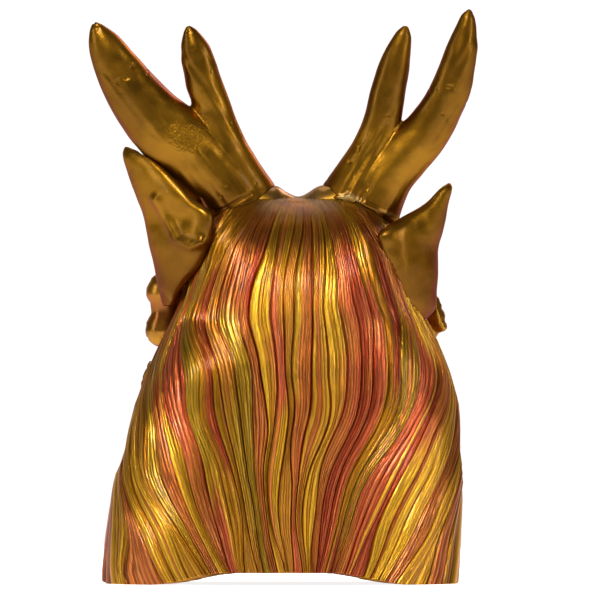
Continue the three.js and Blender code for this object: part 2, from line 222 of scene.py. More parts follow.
class Hair:
    """Columns of the skin's mesh: each lock is split into strands, each strand into a few columns."""

    def __init__(self):
        luck = random.Random(7)
        rows = []
        strand = 0
        for lock in range(-LOCK_COUNT, LOCK_COUNT):
            behind = abs((lock + 0.5) * LOCK_PITCH) < HAIR_EDGE
            count = BACK_COLUMNS if behind else FRONT_COLUMNS
            start = 0
            while start < count:
                size = luck.choice((3, 4, 4, 5, 6)) if behind else 4
                size = count - start if count - start - size < 3 else size
                for step in range(size):
                    rows.append((lock, (start + step) / count, strand, step / size, size))
                start += size
                strand += 1
        self.lock, self.share, self.strand, self.part, self.size = np.array(rows).T
        self.pick = self.lock + DRAW_OFFSET

    def place(self, height):
        left, right = border(self.lock, height), border(self.lock + 1, height)
        return left + self.share * (right - left), right - left, (left + right) / 2

    def line(self, height):
        place, width, middle = self.place(height)
        line = place * LOCK_PITCH
        middle = middle * LOCK_PITCH
        return line + sway(line, height), width, middle + sway(middle, height)

    def relief(self, line, width, height):
        index = np.round(line / LOCK_WIDTH)
        crest = np.abs(np.cos(line / LOCK_WIDTH * math.pi)) ** 0.7
        rank = 0.72 + 0.28 * np.sin(index * 2.4 + height / (46 * K))
        large = 0.4 * LOCK_RELIEF * crest * rank
        top = (4 * self.share * (1 - self.share)) ** 0.5 * np.minimum(width / 0.7, 1)
        tilt = 1.1 * (draw(self.pick, 32) - 0.5) * (self.share - 0.5) * np.minimum(width, 1)
        broad = BROAD_RELIEF * (top * (0.7 + 0.3 * draw(self.pick, 33)) + tilt)
        edge = np.minimum(self.share, 1 - self.share) * width
        crack = CRACK_DEPTH * smooth(0.7, 0.78, draw(self.pick, 35)) * smooth(0.09, 0.02, edge)
        life = 0.3 + 0.55 * noise(self.strand * 3.17 + 500, height / (34 * K), 34)
        life = life + 0.6 * noise(self.strand * 5.31 + 700, height / (13 * K), 36)
        swell = (4 * self.part * (1 - self.part)) ** 0.6
        fine = FINE_RELIEF * swell * life * np.minimum(self.size / 4.5, 1.2)
        fade = 0.06 + 0.94 * smooth(CROWN_FADE * K, (CROWN_FADE + 30) * K, CROWN - height)
        relief = (large + broad + fine - crack) * fade * smooth(0, CROWN_FADE * K, CROWN - height)
        return relief * hair_cover(line, height)


def collar(points):
    """Rise of the skin under the antlers, so that it follows the saddle between them."""
    x, y, z = np.moveaxis(points / K, -1, 0)
    away = np.abs(x - LEAN_AT_CROWN)
    across = smooth(3, 40, away) * (1 - smooth(58, 76, away))
    return K * COLLAR_RISE * across * np.exp(-((y - 13) / 20) ** 2) * smooth(262, 316, z)


def skin_point(angle, height, relief, grow=0.0):
    radius = np.maximum(skin_radius(angle, height), 0.6)
    middle = lean(height)
    points = np.stack([middle + radius * np.sin(angle), radius * np.cos(angle), height + 0 * angle], axis=-1)
    upward = smooth(290 * K, 330 * K, height)
    out = np.stack([np.sin(angle), np.cos(angle), 0 * angle], axis=-1) * (1 - 0.75 * upward)[..., None]
    out[..., 2] += 0.9 * upward
    points = points + out * (relief + grow)[..., None]
    points[..., 2] += collar(points)
    return points


# Closed meshes as (points, faces)

def grid_points(grid):
    """Points of a grid of rings, then the middles of its two ends."""
    return np.concatenate([grid.reshape(-1, 3), [grid[0].mean(axis=0)], [grid[-1].mean(axis=0)]])


def grid_values(values):
    """Values of a grid of rings in the order of its points."""
    return np.append(values.ravel(), [values[0].mean(), values[-1].mean()])


def closed(grid):
    """Closed mesh of a grid of rings, with faces that look outward."""
    rows, columns = grid.shape[:2]
    points = grid_points(grid)
    i, j = np.meshgrid(np.arange(rows - 1), np.arange(columns), indexing="ij")
    following = (j + 1) % columns
    low, high = i * columns, (i + 1) * columns
    walls = np.stack([low + j, low + following, high + following, high + j], axis=-1).reshape(-1, 4).tolist()
    ring = np.arange(columns)
    after = (ring + 1) % columns
    first, last, top = rows * columns, rows * columns + 1, (rows - 1) * columns
    caps = [(first, b, a) for a, b in zip(ring.tolist(), after.tolist())]
    caps += [(last, top + a, top + b) for a, b in zip(ring.tolist(), after.tolist())]
    faces = [tuple(face) for face in walls] + caps
    volume = 0.0
    corners = points - points.mean(axis=0)
    quad = np.array(walls)
    for shift in (1, 2):
        a, b, c = corners[quad[:, 0]], corners[quad[:, shift]], corners[quad[:, shift + 1]]
        volume += (a * np.cross(b, c)).sum()
    if volume < 0:
        faces = [face[::-1] for face in faces]
    return points, faces


def gathered(parts):
    points, faces, count = [], [], 0
    for some_points, some_faces in parts:
        points.append(some_points)
        faces += [tuple(index + count for index in face) for face in some_faces]
        count += len(some_points)
    return np.concatenate(points), faces


def curve(points, t):
    """Centripetal curve through points."""
    ends = np.concatenate([[2 * points[0] - points[1]], points, [2 * points[-1] - points[-2]]])
    last = len(points) - 1
    place = np.clip(t, 0, 1) * last
    i = np.minimum(place.astype(int), last - 1)
    w = (place - i)[:, None]
    p0, p1, p2, p3 = ends[i], ends[i + 1], ends[i + 2], ends[i + 3]
    knot = lambda a, b: (((a - b) ** 2).sum(axis=1) ** 0.25)[:, None]
    d0, d1, d2 = knot(p0, p1), knot(p1, p2), knot(p2, p3)
    m1 = ((p1 - p0) / d0 - (p2 - p0) / (d0 + d1) + (p2 - p1) / d1) * d1
    m2 = ((p2 - p1) / d1 - (p3 - p1) / (d1 + d2) + (p3 - p2) / d2) * d1
    return p1 + m1 * w + (3 * (p2 - p1) - 2 * m1 - m2) * w ** 2 + (2 * (p1 - p2) + m1 + m2) * w ** 3


def limb(stations, steps, sides, grow=0.0, shape=None):
    """Limb along a curve through stations (x, y, z, width, depth); shape(t, angle) adds to its radius."""
    rows = np.array(stations, float)
    points = rows[:, :3] * K
    t = np.linspace(0, 1, steps + 1)
    spots = curve(points, t)
    along = curve(points, np.minimum(t + 1e-4, 1)) - curve(points, np.maximum(t - 1e-4, 0))
    along /= np.linalg.norm(along, axis=1)[:, None]
    across = np.cross(along, [0, 1, 0])
    across /= np.linalg.norm(across, axis=1)[:, None]
    out = np.cross(across, along)
    places = np.linspace(0, 1, len(rows))
    size = through(np.column_stack([places, rows[:, 3:5]]), t) * K / 2 + grow
    size = np.maximum(size, 0.5)
    angle = np.arange(sides) / sides * 2 * math.pi
    extra = shape(t[:, None], angle[None, :]) if shape else np.zeros((len(t), sides))
    wide = (size[:, :1] + extra) * np.cos(angle)
    deep = (size[:, 1:2] + extra) * np.sin(angle)
    return closed(spots[:, None] + across[:, None] * wide[..., None] + out[:, None] * deep[..., None])


def loft(stations, steps, sides, upright, grow=0.0, skew=0.0):
    rows = np.array(stations, float)
    t = np.linspace(0, 1, steps + 1)
    x, y, z, width, other = (through(np.column_stack([np.linspace(0, 1, len(rows)), rows]), t) * K).T
    angle = np.arange(sides) / sides * 2 * math.pi
    across = np.maximum(width / 2 + grow, 0.5)[:, None] * np.cos(angle)
    second = np.maximum(other / 2 + grow, 0.5)[:, None] * np.sin(angle)
    flat = y[:, None] + (0 if upright else second) + skew * across
    high = z[:, None] + (second if upright else 0) + 0 * across
    return closed(np.stack([x[:, None] + across, flat, high], axis=-1))


def ball(centre, radii, rings=16, sides=28):
    polar = np.linspace(0.02, math.pi - 0.02, rings)[:, None]
    angle = np.arange(sides)[None, :] / sides * 2 * math.pi
    flat = np.sin(polar)
    unit = np.stack([flat * np.cos(angle), flat * np.sin(angle), np.cos(polar) + 0 * angle], axis=-1)
    return closed(np.array(centre, float) * K + unit * np.array(radii, float) * K)


def rod(centre, radius, half_length, sides=40):
    """Round rod along Y."""
    angle = np.arange(sides) / sides * 2 * math.pi
    ring = np.stack([radius * np.cos(angle), 0 * angle, radius * np.sin(angle)], axis=-1)
    ends = [ring + np.array(centre) * K + [0, way * half_length * K, 0] for way in (-1, 1)]
    return closed(np.stack(ends))


# Blender meshes

def make(name, shape, slot=0):
    points, faces = shape
    mesh = bpy.data.meshes.new(name)
    mesh.from_pydata(((points + SHIFT) / MM).tolist(), [], faces)
    for _ in range(2):
        mesh.materials.append(None)
    mesh.polygons.foreach_set("material_index", np.full(len(mesh.polygons), slot, np.int32))
    made = bpy.data.objects.new(name, mesh)
    bpy.context.scene.collection.objects.link(made)
    return made


def settle(made):
    """Modifiers worked into the mesh."""
    graph = bpy.context.evaluated_depsgraph_get()
    mesh = bpy.data.meshes.new_from_object(made.evaluated_get(graph), depsgraph=graph)
    made.modifiers.clear()
    old = made.data
    made.data = mesh
    bpy.data.meshes.remove(old)
    return made


def remeshed(made, size, rounds):
    step = made.modifiers.new("remesh", "REMESH")
    step.mode = "VOXEL"
    step.voxel_size = size / MM
    if rounds:
        ease = made.modifiers.new("ease", "SMOOTH")
        ease.factor = 0.5
        ease.iterations = rounds
    return settle(made)


def twin(made):
    """Copy that shares the mesh."""
    copy = made.copy()
    bpy.context.scene.collection.objects.link(copy)
    return copy


def combined(made, others, operation):
    for other in others:
        step = made.modifiers.new(operation, "BOOLEAN")
        step.operation = operation
        step.solver = "MANIFOLD"
        step.object = other
    settle(made)
    for other in others:
        bpy.data.objects.remove(other)
    return made


def vertices(mesh):
    flat = np.empty(len(mesh.vertices) * 3, np.float32)
    mesh.vertices.foreach_get("co", flat)
    return flat.reshape(-1, 3).astype(float) * MM - SHIFT


def normals(mesh):
    flat = np.empty(len(mesh.vertices) * 3, np.float32)
    mesh.vertex_normals.foreach_get("vector", flat)
    return flat.reshape(-1, 3).astype(float)


def move_to(mesh, points):
    mesh.vertices.foreach_set("co", ((points + SHIFT) / MM).astype(np.float32).ravel())
    mesh.update()


# Shapes of the face as the solids have them

SNOUT = [
    (0, -58, 190, 140, 98), (0, -100, 184, 124, 84), (0, -136, 174, 108, 66),
    (0, -164, 172, 102, 60), (0, -180, 172, 84, 48), (0, -187, 172, 42, 24),
]
JAW = [
    (0, -50, 110, 124, 52), (0, -90, 108, 110, 44), (0, -125, 105, 94, 36),
    (0, -150, 103, 78, 28), (0, -164, 104, 42, 14),
]
TONGUE = [(0, -86, 120, 48, 14), (0, -120, 122, 44, 13), (0, -142, 122, 34, 10), (0, -152, 124, 14, 5)]
BRIDGE = [(0, -178, 194, 34, 20), (0, -142, 205, 32, 24), (0, -112, 226, 32, 28), (0, -86, 256, 26, 26)]
EYE = (44, -94, 224)
EYE_RADII = (23, 22, 21)
FANG_LENGTH = 27.0
TOOTH_LENGTH = 15.0
TOOTH_COUNT = 4


def paired_face(side):
    way = lambda rows: [(side * x, *rest) for x, *rest in rows]
    brow = way([(12, -108, 228, 18, 22), (34, -108, 253, 30, 32), (64, -92, 265, 32, 36),
                (92, -62, 268, 26, 30), (108, -36, 262, 8, 10)])
    lid = way([(20, -106, 212, 5, 6), (44, -112, 203, 10, 10), (67, -94, 212, 5, 6)])
    upper_lid = way([(21, -112, 236, 6, 7), (44, -117, 245, 10, 9), (68, -98, 240, 6, 7)])
    whisker = way([(38, -158, 174, 10, 10), (60, -118, 152, 14, 13), (88, -86, 146, 14, 13),
                   (112, -66, 152, 12, 12), (124, -44, 170, 9, 10), (119, -40, 192, 4, 5)])
    jowl = way([(86, -46, 176, 30, 34), (78, -70, 142, 40, 36), (50, -92, 112, 34, 36)])
    twist = lambda t, a: 1.3 * np.sin(3 * a + 9 * t)
    return [
        ball((side * 25, -168, 191), (24, 19, 18)), limb(brow, 40, 28, 0, twist), limb(lid, 20, 16),
        limb(upper_lid, 20, 16), limb(whisker, 48, 18, 0.4, twist), ball((side * 78, -64, 197), (33, 33, 28)),
        limb(jowl, 24, 28, 0, twist),
    ]


LOBES = [
    ([(70, -66, 236, 26, 22), (92, -44, 246, 30, 24), (108, -22, 250, 32, 24)],
     (107, -20, 250), (17, 14, 17)),
    ([(76, -66, 212, 26, 22), (94, -44, 216, 30, 24), (108, -24, 218, 31, 24)],
     (107, -22, 218), (18, 14, 16.5)),
    ([(-76, -66, 206, 24, 22), (-96, -44, 210, 28, 24), (-108, -26, 212, 27, 24)],
     (-108, -24, 212), (18, 14, 14)),
]
FRILL_WEB = [(103, -26, 262, 20, 20), (107, -20, 234, 27, 22), (104, -26, 204, 20, 20)]
FROND = [(-76, -62, 218, 28, 22), (-104, -34, 225, 34, 20), (-130, -14, 233, 35, 12)]


def frills():
    parts = []
    for stem, end, radii in LOBES:
        parts += [limb(stem, 20, 24), ball(end, radii)]
    return parts + [limb(FRILL_WEB, 16, 24), limb(FROND, 24, 28)]


def beard():
    parts = []
    for k in range(-2, 3):
        rows = [
            (19 * k, -104 + 3 * abs(k), 106, 32, 34), (25 * k, -116 + 5 * abs(k), 78, 34, 34),
            (25 * k, -116 + 4 * abs(k), 50, 22, 24), (19 * k, -108, 26 + 6 * abs(k), 3, 4),
        ]
        parts.append(limb(rows, 36, 36, 0, lambda t, a: 1.5 * np.cos(7 * a + 4 * t) * (1 - t)))
    return parts


SADDLE = [
    (44, 13, 334, 30, 34), (24, 13, 320, 49, 46), (12, 13, 314, 47, 46), (-5, 13, 309, 45, 45),
    (-18, 13, 311, 46, 46), (-38, 13, 320, 50, 46), (-58, 13, 338, 30, 34),
]


def mounds(grow=0.0):
    parts = [ball((side * 43 - 9, 10, 306), (38 + grow, 34 + grow, 30 + grow)) for side in (1, -1)]
    return parts + [limb(SADDLE, 60, 40, grow)]


def forehead():
    return [ball((0, -95 + i * 7, z), (19 - 3 * i, 12, 11)) for i, z in enumerate((262, 280, 296))]


# The head

HAIR_EDGE = math.radians(125)
BACK_COLUMNS = 20
FRONT_COLUMNS = 8
SKIN_ROWS = 67
RIM_STEP = 0.0015
HAIR = Hair()


def outer_skin(grow=0.0):
    """Rings of the skin with its hair, and what the paint needs to know at each point."""
    level = np.sin(np.append(0, np.linspace(RIM_STEP, 1, SKIN_ROWS)) * math.pi / 2)[:, None]
    foot, _, _ = HAIR.line(0 * HAIR.lock)
    rim = rim_height(comb_angle(foot, 0 * foot))[None, :]
    height = rim + (CROWN - rim) * level
    line, width, middle = HAIR.line(height)
    relief = HAIR.relief(line, width, height)
    grid = skin_point(comb_angle(line, height), height, relief, grow)
    return grid, line, width, middle, height


def inner_skin():
    below, roof = 12.0, CROWN - WALL
    angle = np.arange(80)[None, :] / 80 * 2 * math.pi
    height = -below + (roof + below) * np.sin(np.linspace(0, 1, 34) * math.pi / 2)[:, None] + 0 * angle
    angle = angle + 0 * height
    radius = np.maximum(skin_radius(angle, height * CROWN / roof) - WALL, 0.6)
    points = [lean(height) + radius * np.sin(angle), radius * np.cos(angle), height]
    return closed(np.stack(points, axis=-1))


def face_core():
    """Smooth body just proud of the skin over the face, and under it everywhere else."""
    lines = np.linspace(-math.pi, math.pi, 97)[:-1]
    height = (24 + (CROWN - 30) * np.sin(np.linspace(0, 1, 40) * math.pi / 2))[:, None] + 0 * lines[None, :]
    angle = lines[None, :] + 0 * height
    turn = np.abs(angle)
    proud = smooth(math.radians(100), math.radians(124), turn) * smooth(112 * K, 132 * K, height)
    proud = proud * (1 - smooth(262 * K, 296 * K, height))
    radius = skin_radius(angle, height) - 5 + 5.9 * proud
    points = [lean(height) + radius * np.sin(angle), radius * np.cos(angle), height]
    return closed(np.stack(points, axis=-1))


def face_relief(points):
    """Wrinkles and soft lumps of the moulding, in millimetres."""
    lumps = noise3(points, 22 * K, 61) * 1.1 + noise3(points, 9 * K, 64) * 0.55
    warp = 0.6 * noise(points[:, 0] / 14, points[:, 2] / 14, 70)
    creased = np.abs(noise(points[:, 2] / (6.5 * K) + warp, points[:, 0] / 40, 67) - 0.5)
    return lumps - 1.0 * (1 - np.minimum(creased * 5, 1))


def distance(points, line):
    """Distance in X and Z to a line of points."""
    spots = points[:, [0, 2]]
    nearest = np.full(len(points), 1e9)
    ends = np.array(line, float) * K
    for a, b in zip(ends[:-1], ends[1:]):
        way = b - a
        t = np.clip(((spots - a) @ way) / (way @ way), 0, 1)
        nearest = np.minimum(nearest, np.linalg.norm(spots - a - t[:, None] * way, axis=1))
    return nearest


# Colour streaks of the hair, as lines of (x, z) down the back

CORAL_STREAKS = [
    ([(59, 304), (64, 244), (71, 202), (70, 176), (64, 125), (58, 74), (47, 15)], 7),
    ([(21, 300), (30, 261), (43, 227), (66, 168)], 5),
    ([(13, 261), (13, 202), (17, 159), (10, 117), (0, 57), (-8, 15)], 7),
    ([(-17, 283), (-24, 253), (-17, 210), (-11, 185), (-15, 142)], 5),
    ([(-42, 304), (-53, 270), (-55, 236), (-47, 206), (-38, 159), (-34, 125), (-30, 15)], 8),
    ([(-64, 295), (-76, 253), (-83, 219), (-81, 185), (-68, 151), (-51, 117)], 10),
    ([(92, 270), (101, 219), (99, 176), (95, 134), (87, 83)], 8),
    ([(-119, 202), (-110, 159), (-98, 117), (-76, 83), (-51, 15)], 10),
    ([(-129, 180), (-123, 108)], 7),
    ([(137, 120), (132, 74)], 6),
]
OLIVE_STREAKS = [
    ([(43, 215), (43, 185), (38, 134), (30, 74), (17, 23)], 8),
    ([(85, 250), (85, 227), (83, 142)], 6),
    ([(-100, 230), (-98, 202), (-89, 142), (-68, 100), (-51, 57)], 7),
    ([(-8, 280), (-8, 261), (-6, 219)], 6),
    ([(4, 159), (-17, 23)], 5),
    ([(118, 180), (112, 60)], 8),
]


def streaks(points, lines):
    total = np.zeros(len(points))
    for line, width in lines:
        total = np.maximum(total, np.exp(-(distance(points, line) / (width * K)) ** 2))
    return total


def corner_points(mesh):
    corners = np.empty(len(mesh.loops), np.int32)
    mesh.loops.foreach_get("vertex_index", corners)
    return corners


def field(mesh, name, values):
    """Value for each corner of the faces, which survives cutting and joining."""
    store = mesh.attributes.new(name, "FLOAT", "CORNER")
    store.data.foreach_set("value", np.asarray(values, np.float32)[corner_points(mesh)])


def face_starts(mesh):
    starts = np.empty(len(mesh.polygons), np.int32)
    mesh.polygons.foreach_get("loop_start", starts)
    return starts


def comb_map(mesh, around, height):
    """UV map along the comb: degrees round the head and millimetres of height, each over ten."""
    corners = corner_points(mesh)
    placed = np.stack([np.degrees(around) / 10, height / 10], axis=-1)[corners]
    starts = face_starts(mesh)
    lowest = np.minimum.reduceat(placed[:, 0], starts)
    highest = np.maximum.reduceat(placed[:, 0], starts)
    split = np.repeat(highest - lowest > 18, np.diff(np.append(starts, len(corners))))
    placed[:, 0] = np.where(split & (placed[:, 0] < 0), placed[:, 0] + 36, placed[:, 0])
    store = mesh.uv_layers.new(name="comb")
    store.data.foreach_set("uv", placed.astype(np.float32).ravel())


def shared_fields(mesh, points):
    x, y, z = points.T
    away = ((x - LEAN_AT_CROWN) / (20 * K)) ** 2 + ((y - 24) / (16 * K)) ** 2
    field(mesh, "worn", np.exp(-away) * smooth(322 * K, 330 * K, z))
    # Painted shade: the paint is darker toward the top of the back of the head.
    field(mesh, "shade", smooth(268 * K, 318 * K, z) * smooth(-30 * K, 0, y))
    mouth = smooth(-70, -84, y) * smooth(150, 138, z) * smooth(112, 122, z) * (1 - smooth(44, 56, np.abs(x)))
    field(mesh, "mouth", mouth)


def eased(values, reach=12):
    """Mean along the strands over some rings up and down."""
    padded = np.pad(values, ((reach + 1, reach), (0, 0)), mode="edge").cumsum(axis=0)
    return (padded[2 * reach + 1:] - padded[:-2 * reach - 1]) / (2 * reach + 1)


def paint_hair(mesh, grid, line, width, middle, height):
    def store(name, values):
        field(mesh, name, grid_values(values + 0 * height))

    x, y, z = np.moveaxis(grid, -1, 0)
    cover = hair_cover(line, height)
    back = smooth(-10 * K, 25 * K, y)
    angle = comb_angle(middle, height)
    middle_x = lean(height) + skin_radius(angle, height) * np.sin(angle)
    spots = np.stack([0.8 * middle_x + 0.2 * x, y, z], axis=-1).reshape(-1, 3)
    along = lambda lines: eased(streaks(spots, lines).reshape(z.shape))
    around = noise(middle * 7 + 30, height / (190 * K), 51)
    other = noise(middle * 6 + 90, height / (190 * K), 52)
    luck = 0.24 * (draw(HAIR.pick, 53) - 0.5)
    coral = along(CORAL_STREAKS) * back + (1 - back) * smooth(0.46, 0.7, around)
    olive = along(OLIVE_STREAKS) * back + (1 - back) * smooth(0.46, 0.7, other)
    coral = smooth(CORAL_FROM, CORAL_FROM + 0.16, coral + luck)
    stray = draw(HAIR.strand, 57) + 0 * height
    added = (1 - coral) * np.where(stray < STRAY_CORAL, 0.7, 0) * back
    coral = coral * np.where(stray > STRAY_GOLD, 0.2, 1) + added
    olive = smooth(0.3, 0.46, olive - luck) * (1 - coral)
    copper = smooth(0.68, 0.76, draw(HAIR.pick, 54)) * (1 - coral) * (1 - olive)
    edge = np.minimum(HAIR.share, 1 - HAIR.share) * np.minimum(width, 1)
    fine_edge = np.minimum(HAIR.part, 1 - HAIR.part) * HAIR.size / 5
    # Painted shade: the colour is darker in the grooves between locks and between strands, less near the
    # crown.
    deep = 0.95 * smooth(0.09, 0.0, edge) + 0.6 * smooth(0.22, 0.0, fine_edge)
    store("cover", cover)
    store("groove_shade", np.clip(deep * (1 - 0.7 * smooth(296 * K, 318 * K, z)) * cover, 0, 1))
    store("coral", coral)
    store("olive", olive)
    store("copper", copper)
    store("tone", 0.6 * draw(HAIR.strand, 55) + 0.4 * draw(HAIR.pick, 56))
    store("tuft", 0)
    store("scaly", smooth(-20 * K, -60 * K, y) * (1 - cover))
    top = z - 0.1 * np.abs(x - LEAN_AT_CROWN)
    store("smooth_top", smooth(308 * K, 328 * K, top) * smooth(-30 * K, -10 * K, y))
    shared_fields(mesh, grid_points(grid))
    place, _, _ = HAIR.place(height)
    comb_map(mesh, grid_values(place * LOCK_PITCH), grid_values(height))


def paint_face(mesh):
    points = vertices(mesh)
    x, y, z = points.T
    for name in ("cover", "groove_shade", "coral", "olive", "copper"):
        field(mesh, name, 0 * x)
    field(mesh, "tone", 0.5 + 0 * x)
    field(mesh, "tuft", (1 - smooth(86 * K, 104 * K, z)) * smooth(-96 * K, -104 * K, y))
    field(mesh, "scaly", smooth(-20 * K, -60 * K, y))
    field(mesh, "smooth_top", smooth(296 * K, 306 * K, z) * smooth(-60 * K, -30 * K, y))
    shared_fields(mesh, points)
    comb_map(mesh, x / 40, z)


def shortened(rows):
    """Stations of a hollow that leave a wall at the tip."""
    first, last = rows[0][1], rows[-1][1]
    share = 1 - TIP_WALL / abs(last - first)
    return [(x, first + (y - first) * share, *rest) for x, y, *rest in rows]


def build_head():
    grid, *facts = outer_skin()
    head = make("head_skin", closed(grid))
    paint_hair(head.data, grid, *facts)
    parts = [face_core(), loft(SNOUT, 40, 56, True), loft(JAW, 30, 48, True), loft(BRIDGE, 28, 28, True)]
    parts += paired_face(1) + paired_face(-1) + frills() + beard() + forehead() + mounds()
    face = remeshed(make("face", gathered(parts)), FACE_VOXEL, 5)
    points = vertices(face.data)
    relief = face_relief(points) * smooth(20, -20, points[:, 1])
    move_to(face.data, points + normals(face.data) * relief[:, None])
    paint_face(face.data)
    combined(head, [face], "UNION")
    nostrils = [make("nostril", ball((side * 25, -186, 192), (9, 8, 7)), 1) for side in (1, -1)]
    hollow = [
        make("inside", inner_skin(), 1), make("inside_snout", loft(shortened(SNOUT), 20, 30, True, -WALL), 1),
        make("inside_jaw", loft(shortened(JAW), 16, 26, True, -WALL), 1),
    ]
    room = [radius + JOINT_GAP for radius in EYE_RADII]
    sockets = [make("socket", ball((side * EYE[0], *EYE[1:]), room), 1) for side in (1, -1)]
    return combined(head, nostrils + hollow + sockets, "DIFFERENCE")


def build_eyes():
    eyes = []
    for name, side in (("eye_left", 1), ("eye_right", -1)):
        middle = (side * EYE[0], EYE[1], EYE[2])
        eye = make(name, ball(middle, EYE_RADII, 40, 64))
        cuts = [
            make("eye_hollow", ball(middle, [r - WALL / K for r in EYE_RADII], 20, 32), 1),
            make("pupil", rod((middle[0], -100, middle[2]), PUPIL_DIAMETER / 2, 45), 1),
            make("eye_back", inner_skin(), 1),
        ]
        eyes.append(combined(eye, cuts, "DIFFERENCE"))
    return eyes


def lip(body, y, share, way):
    rows = [(-place, z, width, height) for _, place, z, width, height in body]
    z, width, height = through(rows, np.array([-y]))[0]
    return share * width / 2, z + way * height * math.sqrt(1 - share * share) / 2


def build_teeth():
    parts = []
    for body, way, first, pitch, radius in ((SNOUT, -1, -104, -12, 5.0), (JAW, 1, -98, -10.5, 4.2)):
        for side in (1, -1):
            for i in range(TOOTH_COUNT):
                y = first + pitch * i
                x, z = lip(body, y, 0.74, way)
                fang = i == TOOTH_COUNT - 1
                length = FANG_LENGTH if fang else TOOTH_LENGTH
                wide = 2 * radius * (1.35 if fang else 1)
                root = z - way * 4
                rows = [
                    (side * x, y, root, wide, wide),
                    (side * (x + 0.5), y - 0.6, root + way * length * 0.35, wide * 0.86, wide * 0.86),
                    (side * (x + 0.2), y - 0.4, root + way * length * 0.7, wide * 0.52, wide * 0.52),
                    (side * (x - 0.6), y + 0.8, root + way * length, 0.8, 0.8),
                ]
                parts.append(limb(rows, 18, 18))
    return make("teeth", gathered(parts))


def build_tongue():
    points, faces = loft(TONGUE, 40, 40, True)
    x, y, z = points.T
    furrow = -1.6 * np.exp(-(x / 3.0) ** 2) * smooth(118, 122, z) * smooth(-150, -140, y)
    grain = 0.5 * noise3(points, 5, 90)
    points = points + np.stack([0 * x, 0 * y, furrow + grain], axis=-1)
    return make("tongue", (points, faces))


# Antlers: beam and tine as (x, y, z, width)

ANTLER_DEPTH = 0.84
ANTLERS = {
    "antler_left": [
        [(22, 12, 296, 52), (42.5, 13, 325, 58), (68, 15, 353, 60), (95, 18, 378, 60),
         (121.5, 22, 404, 52), (144.5, 27, 435.6, 42), (158.5, 31, 461, 29), (166, 34, 477, 12),
         (167.5, 35, 480.7, 4)],
        [(23, 12, 306, 58), (37, 13, 332, 51), (52, 15, 362, 43), (64.5, 18, 400, 34), (74, 21, 431, 31),
         (81.5, 24, 457, 26), (86, 26, 473, 13), (87.5, 27, 478, 4)],
    ],
    "antler_right": [
        [(-50, 12, 290, 50), (-66, 13, 317.5, 54), (-81, 15, 348, 50), (-98.6, 17, 367.6, 46),
         (-117, 20, 387, 41), (-130, 24, 408, 37), (-140, 28, 432, 33), (-147.5, 32, 460, 26),
         (-152.5, 35, 486, 13), (-154, 36, 492.6, 4)],
        [(-36, 12, 300, 58), (-51, 13, 329, 53), (-61, 14, 350.6, 44), (-71.4, 16, 372, 37),
         (-79, 18, 396, 32), (-84, 21, 421, 30), (-90, 24, 446.7, 26), (-97, 27, 470, 14),
         (-99.5, 28, 477.5, 4)],
    ],
}
ROUGH_SPOT = [(76, 392), (88, 378), (96, 384)]
ROOT_SEAM = [(-34, 330), (-51, 332), (-64, 325), (-75, 320), (-89, 314), (-95, 311)]
ROOT_CREASE = [(77, 329), (72, 317), (55, 321), (34, 334)]


def antler_parts(name, grow=0.0):
    parts = []
    for branch in ANTLERS[name]:
        rows = [(x, y, z, width, width * ANTLER_DEPTH) for x, y, z, width in branch]
        parts.append(limb(rows, 90, 56, grow))
    return parts


def fitted_skin():
    """Skin and mounds a little larger, to cut what stands on them."""
    fitted = make("fitted", closed(outer_skin(JOINT_GAP)[0]), 1)
    raised = remeshed(make("raised", gathered(mounds(MOUND_GAP))), FACE_VOXEL, 2)
    return combined(fitted, [raised], "UNION")


def gold_fields(mesh, worn, root_end, root_start, rough):
    """What the gold paint needs to know; root is where it is painted darker toward the head as painted shade,
    and low marks faces that look down, which get painted shade.
    """
    field(mesh, "worn", worn)
    field(mesh, "root", 1 - smooth(root_end * K, root_start * K, vertices(mesh)[:, 2]))
    field(mesh, "rough", rough)
    field(mesh, "low", np.clip(-normals(mesh)[:, 2], 0, 1))


def build_antler(title, name, seed, fitted):
    antler = remeshed(make(title, gathered(antler_parts(name))), ANTLER_VOXEL, 4)
    points = vertices(antler.data)
    x, y, z = points.T
    behind = smooth(-4 * K, 8 * K, y)
    lumps = 1.1 * noise3(points, 26 * K, seed) + 0.45 * noise3(points, 10 * K, seed + 3)
    slope = 0.75 if name == "antler_left" else -0.6
    along = x * slope + z
    across = z * slope - x
    tooled = noise(across / 5.5, along / 60, seed + 5) - 0.5
    pitted = smooth(0.5, 0.6, noise(x / 30, z / 30, seed + 9))
    pits = -0.7 * smooth(0.86, 0.95, noise(x / 4.2, z / 4.2 + y / 9, seed + 8)) * pitted
    seam = 1.3 * np.exp(-(distance(points, ROOT_SEAM) / 1.5) ** 2) * behind
    crease = -1.4 * np.exp(-(distance(points, ROOT_CREASE) / 2.0) ** 2) * behind
    marks = 1.3 * tooled * smooth(0.35, 0.6, noise(across / 20, along / 45, seed + 6))
    height = lumps + marks + pits + seam + crease
    move_to(antler.data, points + normals(antler.data) * height[:, None])
    combined(antler, [twin(fitted)], "DIFFERENCE")
    points = vertices(antler.data)
    worn = np.exp(-(distance(points, ROOT_SEAM) / 2.2) ** 2) * smooth(0, 8, points[:, 1])
    rough = 1 - smooth(6 * K, 15 * K, distance(points, ROUGH_SPOT))
    gold_fields(antler.data, worn, 318, 352, rough if name == "antler_left" else 0 * rough)
    return antler


# Ears: leaves on the side of the head, as (height, outer edge, inner edge, thickness)

